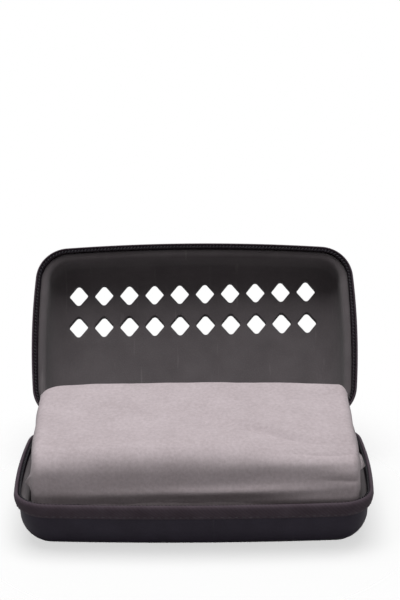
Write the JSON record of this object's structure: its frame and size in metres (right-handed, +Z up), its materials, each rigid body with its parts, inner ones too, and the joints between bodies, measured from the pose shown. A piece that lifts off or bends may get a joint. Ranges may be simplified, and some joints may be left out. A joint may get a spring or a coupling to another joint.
{
  "type": "travel towel case",
  "caption": "Moulded foam travel case with a rounded zip mouth, standing open on its fabric hinge, with rows of diamond vents in the lid and a folded towel in the base.",
  "frame": {"origin": "centre of the base underside, on the surface the case stands on", "axes": "+X along the long side to the right of the pictured view, +Y to the hinge side, +Z up"},
  "size_m": [0.146, 0.1497, 0.0896],
  "materials": {
    "shell_cover": "smooth knit bonded over pressed foam, with a grey knit lining bonded inside",
    "zip_tape": "woven zip tape",
    "zip_coil": "nylon monofilament coil",
    "hinge_strip": "woven hinge strip",
    "slider_metal": "black enamelled zinc",
    "towel_suede": "suede microfibre"
  },
  "bodies": {
    "base": {"base_shell": "shell_cover", "base_zip_tape": "zip_tape", "base_zip_coil": "zip_coil", "base_hinge_strip": "hinge_strip", "folded_towel": "towel_suede"},
    "lid": {"lid_shell": "shell_cover", "lid_zip_tape": "zip_tape", "lid_zip_coil": "zip_coil", "lid_hinge_strip": "hinge_strip"},
    "slider": {"zip_slider": "slider_metal"},
    "pull": {"pull_tab": "slider_metal"}
  },
  "joints": [
    {"name": "lid_hinge", "type": "hinge", "parent": "base", "child": "lid", "pos_m": [0, 0.042, 0.022], "axis": [-1, 0, 0], "range_deg": [-126, 0]},
    {"name": "slider_slide", "type": "slide", "parent": "base", "child": "slider", "axis": [0.999, -0.0438, 0], "range_m": [0, 0.009]},
    {"name": "pull_swing", "type": "hinge", "parent": "slider", "child": "pull", "pos_m": [0.0366, 0.0436, 0.022], "axis": [0.999, -0.0438, 0], "range_deg": [0, 38]}
  ]
}
